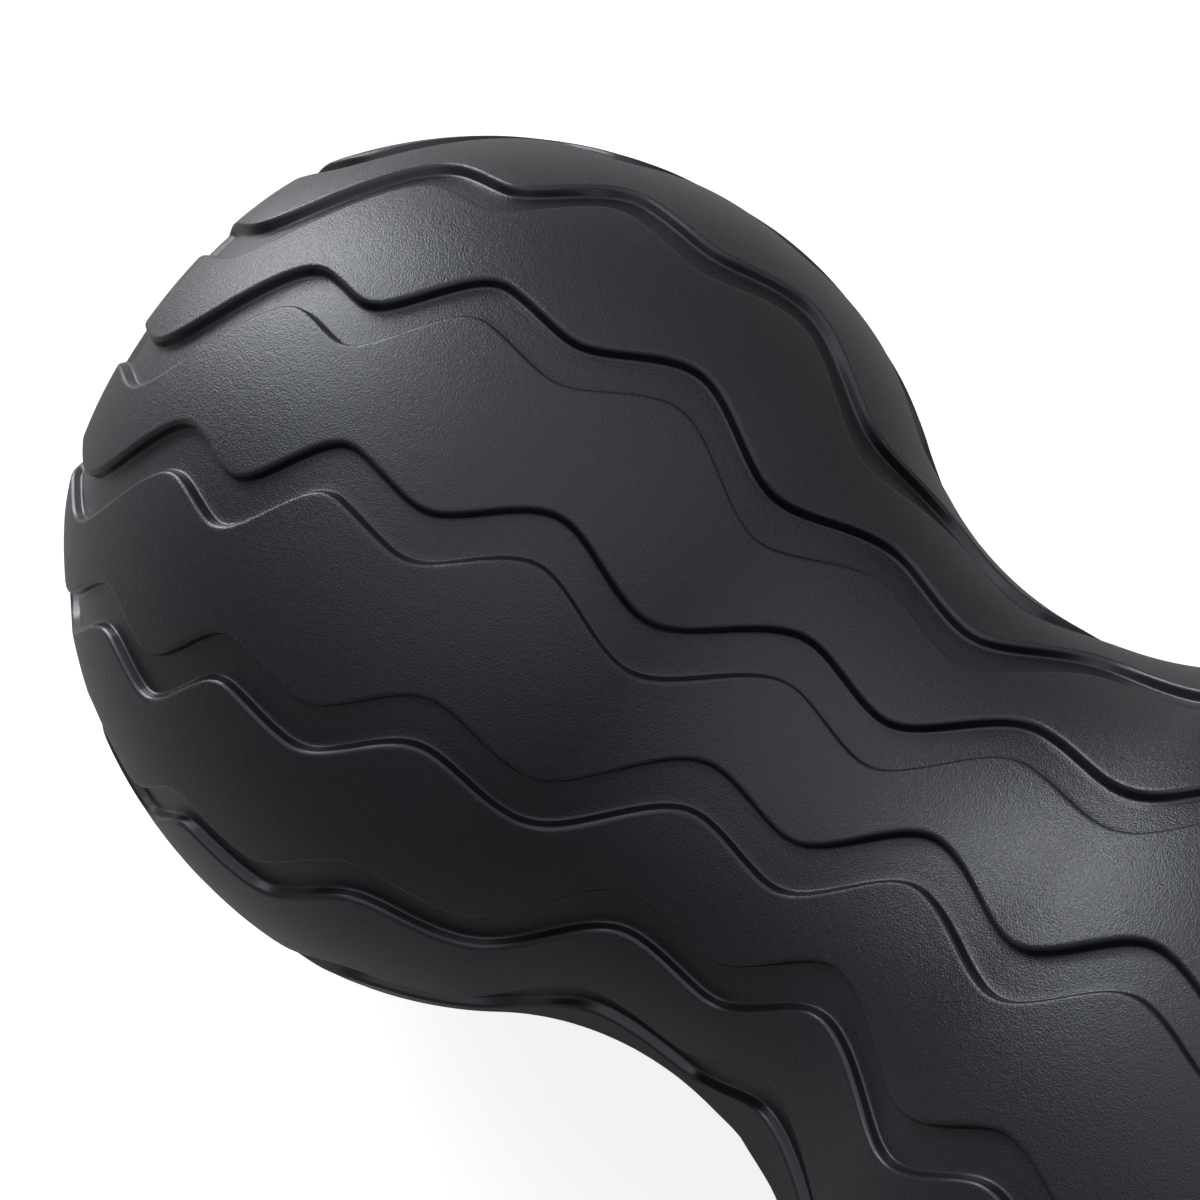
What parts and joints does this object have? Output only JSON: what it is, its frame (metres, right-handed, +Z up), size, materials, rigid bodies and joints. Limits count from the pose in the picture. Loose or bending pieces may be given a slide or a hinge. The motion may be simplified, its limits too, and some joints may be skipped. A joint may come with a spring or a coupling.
{
  "type": "massage ball",
  "caption": "Two-lobe vibrating massage roller: grooved silicone skin over a hard core with a motor, battery, round end caps, a power button and a charging door.",
  "frame": {"origin": "middle of the waist, on the long axis, which is the middle of the part's box", "axes": "+X along the long axis towards the control end, +Z up with the roller lying on its side, battery and motor hung low"},
  "size_m": [0.182, 0.096, 0.0959],
  "materials": {
    "silicone": "matt moulded silicone with a fine sandy grain, near-black cool grey",
    "core_plastic": "plain moulded shell",
    "cap_plastic": "satin black cap",
    "button_plastic": "soft satin button",
    "light_pipe": "milky clear light pipe",
    "seal_rubber": "black rubber",
    "steel": "plated steel",
    "black_steel": "dark oxide steel",
    "brass": "turned brass",
    "copper": "copper",
    "magnet": "sintered magnet",
    "black_moulding": "black moulding",
    "board": "green circuit board",
    "cell_wrap": "shrink wrap",
    "nickel": "nickel strip",
    "red_lead": "red insulation",
    "black_lead": "black insulation"
  },
  "bodies": {
    "root": {"silicone_skin": "silicone", "upper_core_shell": "core_plastic", "lower_core_shell": "core_plastic", "shell_screw_1": "steel", "shell_screw_2": "steel", "shell_screw_3": "steel", "shell_screw_4": "steel", "shell_screw_5": "steel", "shell_screw_6": "steel", "plain_end_cap": "cap_plastic", "plain_cap_seal": "seal_rubber", "control_end_cap": "cap_plastic", "control_cap_seal": "seal_rubber", "level_light_1": "light_pipe", "level_light_2": "light_pipe", "level_light_3": "light_pipe", "level_light_4": "light_pipe", "level_light_5": "light_pipe", "charge_socket": "steel", "socket_tongue": "black_moulding", "control_board": "board", "tact_switch": "black_steel", "motor_driver_chip": "black_moulding", "board_screw_1": "steel", "board_screw_2": "steel", "motor_can": "steel", "motor_end_bell": "black_moulding", "magnet_1": "magnet", "magnet_2": "magnet", "brush_1": "black_moulding", "brush_2": "black_moulding", "front_bearing": "brass", "rear_bearing": "brass", "front_damper": "seal_rubber", "rear_damper": "seal_rubber", "cell_1": "cell_wrap", "cell_2": "cell_wrap", "cell_carrier": "core_plastic", "cell_link_strip": "nickel", "positive_strip": "nickel", "negative_strip": "nickel", "carrier_screw_1": "steel", "carrier_screw_2": "steel", "motor_lead_red": "red_lead", "motor_lead_black": "black_lead", "battery_lead_red": "red_lead", "battery_lead_black": "black_lead"},
    "rotor": {"motor_shaft": "steel", "armature_core": "black_steel", "armature_winding": "copper", "commutator": "copper", "front_weight": "brass", "rear_weight": "brass", "front_weight_screw": "black_steel", "rear_weight_screw": "black_steel"},
    "button": {"power_button": "button_plastic"},
    "door": {"port_door": "cap_plastic"}
  },
  "joints": [
    {"name": "motor_spin", "type": "hinge", "parent": "root", "child": "rotor", "pos_m": [-0.045, 0, -0.004], "axis": [1, 0, 0], "continuous": true},
    {"name": "power_button_press", "type": "slide", "parent": "root", "child": "button", "axis": [-1, 0, 0], "range_m": [0, 0.0006], "stiffness_N_per_m": 1500},
    {"name": "port_door_swing", "type": "hinge", "parent": "root", "child": "door", "pos_m": [0.09, 0, -0.0182], "axis": [0, 1, 0], "range_deg": [0, 95]}
  ]
}
